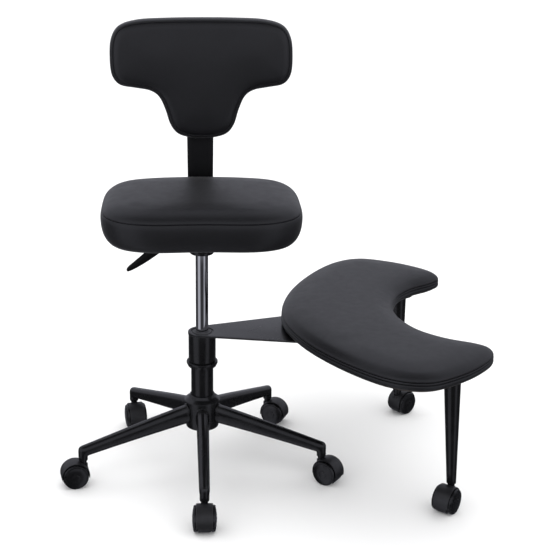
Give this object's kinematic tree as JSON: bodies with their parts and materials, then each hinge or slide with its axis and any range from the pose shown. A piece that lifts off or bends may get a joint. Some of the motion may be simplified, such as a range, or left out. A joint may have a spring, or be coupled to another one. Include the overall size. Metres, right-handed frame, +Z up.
{
  "type": "kneeling massage chair",
  "caption": "Swivel stool with a T-shaped backrest on a castered star base, and a padded crescent knee pad on a swinging arm with castered legs.",
  "frame": {"origin": "on the floor, under the middle of the chair's bounding box", "axes": "+Z up, the seat faces -Y, the knee pad's arm points 3 degrees from +X"},
  "size_m": [0.9268, 0.7579, 0.9983],
  "materials": {
    "leather": "fine grained, semi-matt",
    "frame": "satin black powder coat",
    "chrome": "polished",
    "steel": "zinc plated",
    "plastic": "moulded, satin",
    "nylon": "moulded bearing nylon",
    "wheel": "moulded, semi-gloss",
    "plywood": "dark stained"
  },
  "bodies": {
    "base": {"base_hub": "frame", "base_leg_1": "frame", "base_leg_2": "frame", "base_leg_3": "frame", "base_leg_4": "frame", "base_leg_5": "frame", "hub_cover": "plastic", "column_tube": "frame", "column_bush": "nylon", "support_collar": "frame", "caster_stem_1": "frame", "caster_stem_2": "frame", "caster_stem_3": "frame", "caster_stem_4": "frame", "caster_stem_5": "frame"},
    "lift_rod": {"gas_rod": "steel", "thrust_bearing": "steel"},
    "seat": {"gas_cylinder": "chrome", "seat_housing": "frame", "seat_board": "plywood", "seat_cushion": "leather", "back_bar": "frame", "back_cover": "plastic"},
    "valve": {"valve_pin": "steel"},
    "lever": {"lift_lever": "frame", "lever_paddle": "plastic"},
    "backrest": {"back_bracket": "frame", "back_board": "plywood", "back_cushion": "leather"},
    "knob": {"back_knob": "plastic"},
    "swing_arm": {"sleeve_bush": "nylon", "swing_sleeve": "frame", "swing_plate": "frame", "knee_board": "plywood", "knee_cushion": "leather", "knee_leg_front": "frame", "knee_leg_rear": "frame", "caster_stem_knee_front": "frame", "caster_stem_knee_rear": "frame"},
    "hood_1": {"caster_hood_1": "plastic"},
    "wheel_1_a": {"caster_wheel_1_a": "wheel"},
    "wheel_1_b": {"caster_wheel_1_b": "wheel"},
    "hood_2": {"caster_hood_2": "plastic"},
    "wheel_2_a": {"caster_wheel_2_a": "wheel"},
    "wheel_2_b": {"caster_wheel_2_b": "wheel"},
    "hood_3": {"caster_hood_3": "plastic"},
    "wheel_3_a": {"caster_wheel_3_a": "wheel"},
    "wheel_3_b": {"caster_wheel_3_b": "wheel"},
    "hood_4": {"caster_hood_4": "plastic"},
    "wheel_4_a": {"caster_wheel_4_a": "wheel"},
    "wheel_4_b": {"caster_wheel_4_b": "wheel"},
    "hood_5": {"caster_hood_5": "plastic"},
    "wheel_5_a": {"caster_wheel_5_a": "wheel"},
    "wheel_5_b": {"caster_wheel_5_b": "wheel"},
    "hood_knee_front": {"caster_hood_knee_front": "plastic"},
    "wheel_knee_front_a": {"caster_wheel_knee_front_a": "wheel"},
    "wheel_knee_front_b": {"caster_wheel_knee_front_b": "wheel"},
    "hood_knee_rear": {"caster_hood_knee_rear": "plastic"},
    "wheel_knee_rear_a": {"caster_wheel_knee_rear_a": "wheel"},
    "wheel_knee_rear_b": {"caster_wheel_knee_rear_b": "wheel"}
  },
  "joints": [
    {"name": "seat_swivel", "type": "hinge", "parent": "base", "child": "lift_rod", "pos_m": [-0.1451, -0.0222, 0.112], "axis": [0, 0, 1], "continuous": true},
    {"name": "seat_height", "type": "slide", "parent": "lift_rod", "child": "seat", "axis": [0, 0, 1], "range_m": [-0.12, 0]},
    {"name": "lever_lift", "type": "hinge", "parent": "seat", "child": "lever", "pos_m": [-0.1801, -0.0222, 0.5497], "axis": [0, 1, 0], "range_deg": [0, 5], "stiffness_Nm_per_rad": 1, "springref_deg": -5.73},
    {"name": "valve_press", "type": "slide", "parent": "seat", "child": "valve", "axis": [0, 0, 1], "range_m": [-0.0035, 0]},
    {"name": "back_height", "type": "slide", "parent": "seat", "child": "backrest", "axis": [0, 0.0698, 0.9976], "range_m": [-0.034, 0.03]},
    {"name": "back_knob_turn", "type": "hinge", "parent": "backrest", "child": "knob", "pos_m": [-0.1451, 0.19033, 0.82913], "axis": [0, 0.9976, -0.0698], "range_deg": [0, 360]},
    {"name": "arm_swing", "type": "hinge", "parent": "base", "child": "swing_arm", "pos_m": [-0.1451, -0.0222, 0.295], "axis": [0, 0, 1], "continuous": true},
    {"name": "caster_swivel_1", "type": "hinge", "parent": "base", "child": "hood_1", "pos_m": [-0.1451, -0.3017, 0.045], "axis": [0, 0, 1], "continuous": true},
    {"name": "wheel_turn_1_a", "type": "hinge", "parent": "hood_1", "child": "wheel_1_a", "pos_m": [-0.12843, -0.32099, 0.028], "axis": [0.9998, -0.0175, 0], "continuous": true},
    {"name": "wheel_turn_1_b", "type": "hinge", "parent": "hood_1", "child": "wheel_1_b", "pos_m": [-0.16243, -0.3204, 0.028], "axis": [0.9998, -0.0175, 0], "continuous": true},
    {"name": "caster_swivel_2", "type": "hinge", "parent": "base", "child": "hood_2", "pos_m": [0.12072, -0.10857, 0.045], "axis": [0, 0, 1], "continuous": true},
    {"name": "wheel_turn_2_a", "type": "hinge", "parent": "hood_2", "child": "wheel_2_a", "pos_m": [0.14613, -0.10643, 0.028], "axis": [0.6018, 0.7986, 0], "continuous": true},
    {"name": "wheel_turn_2_b", "type": "hinge", "parent": "hood_2", "child": "wheel_2_b", "pos_m": [0.12566, -0.13358, 0.028], "axis": [0.6018, 0.7986, 0], "continuous": true},
    {"name": "caster_swivel_3", "type": "hinge", "parent": "base", "child": "hood_3", "pos_m": [0.01919, 0.20392, 0.045], "axis": [0, 0, 1], "continuous": true},
    {"name": "wheel_turn_3_a", "type": "hinge", "parent": "hood_3", "child": "wheel_3_a", "pos_m": [0.04359, 0.2113, 0.028], "axis": [0.4226, 0.9063, 0], "continuous": true},
    {"name": "wheel_turn_3_b", "type": "hinge", "parent": "hood_3", "child": "wheel_3_b", "pos_m": [0.02922, 0.18048, 0.028], "axis": [0.4226, 0.9063, 0], "continuous": true},
    {"name": "caster_swivel_4", "type": "hinge", "parent": "base", "child": "hood_4", "pos_m": [-0.30939, 0.20392, 0.045], "axis": [0, 0, 1], "continuous": true},
    {"name": "wheel_turn_4_a", "type": "hinge", "parent": "hood_4", "child": "wheel_4_a", "pos_m": [-0.28855, 0.18923, 0.028], "axis": [0.9744, 0.225, 0], "continuous": true},
    {"name": "wheel_turn_4_b", "type": "hinge", "parent": "hood_4", "child": "wheel_4_b", "pos_m": [-0.32168, 0.18158, 0.028], "axis": [0.9744, 0.225, 0], "continuous": true},
    {"name": "caster_swivel_5", "type": "hinge", "parent": "base", "child": "hood_5", "pos_m": [-0.41092, -0.10857, 0.045], "axis": [0, 0, 1], "continuous": true},
    {"name": "wheel_turn_5_a", "type": "hinge", "parent": "hood_5", "child": "wheel_5_a", "pos_m": [-0.42597, -0.12915, 0.028], "axis": [0.2079, -0.9781, 0], "continuous": true},
    {"name": "wheel_turn_5_b", "type": "hinge", "parent": "hood_5", "child": "wheel_5_b", "pos_m": [-0.43304, -0.09589, 0.028], "axis": [0.2079, -0.9781, 0], "continuous": true},
    {"name": "caster_swivel_knee_front", "type": "hinge", "parent": "swing_arm", "child": "hood_knee_front", "pos_m": [0.38917, -0.24655, 0.045], "axis": [0, 0, 1], "continuous": true},
    {"name": "wheel_turn_knee_front_a", "type": "hinge", "parent": "hood_knee_front", "child": "wheel_knee_front_a", "pos_m": [0.39109, -0.27197, 0.028], "axis": [0.7934, -0.6088, 0], "continuous": true},
    {"name": "wheel_turn_knee_front_b", "type": "hinge", "parent": "hood_knee_front", "child": "wheel_knee_front_b", "pos_m": [0.36412, -0.25127, 0.028], "axis": [0.7934, -0.6088, 0], "continuous": true},
    {"name": "caster_swivel_knee_rear", "type": "hinge", "parent": "swing_arm", "child": "hood_knee_rear", "pos_m": [0.34849, 0.23158, 0.045], "axis": [0, 0, 1], "continuous": true},
    {"name": "wheel_turn_knee_rear_a", "type": "hinge", "parent": "hood_knee_rear", "child": "wheel_knee_rear_a", "pos_m": [0.35274, 0.25672, 0.028], "axis": [-0.6239, 0.7815, 0], "continuous": true},
    {"name": "wheel_turn_knee_rear_b", "type": "hinge", "parent": "hood_knee_rear", "child": "wheel_knee_rear_b", "pos_m": [0.37395, 0.23015, 0.028], "axis": [-0.6239, 0.7815, 0], "continuous": true}
  ],
  "couplings": [
    {"joint": "valve_press", "follows": "lever_lift", "m_per_rad": -0.0375}
  ]
}
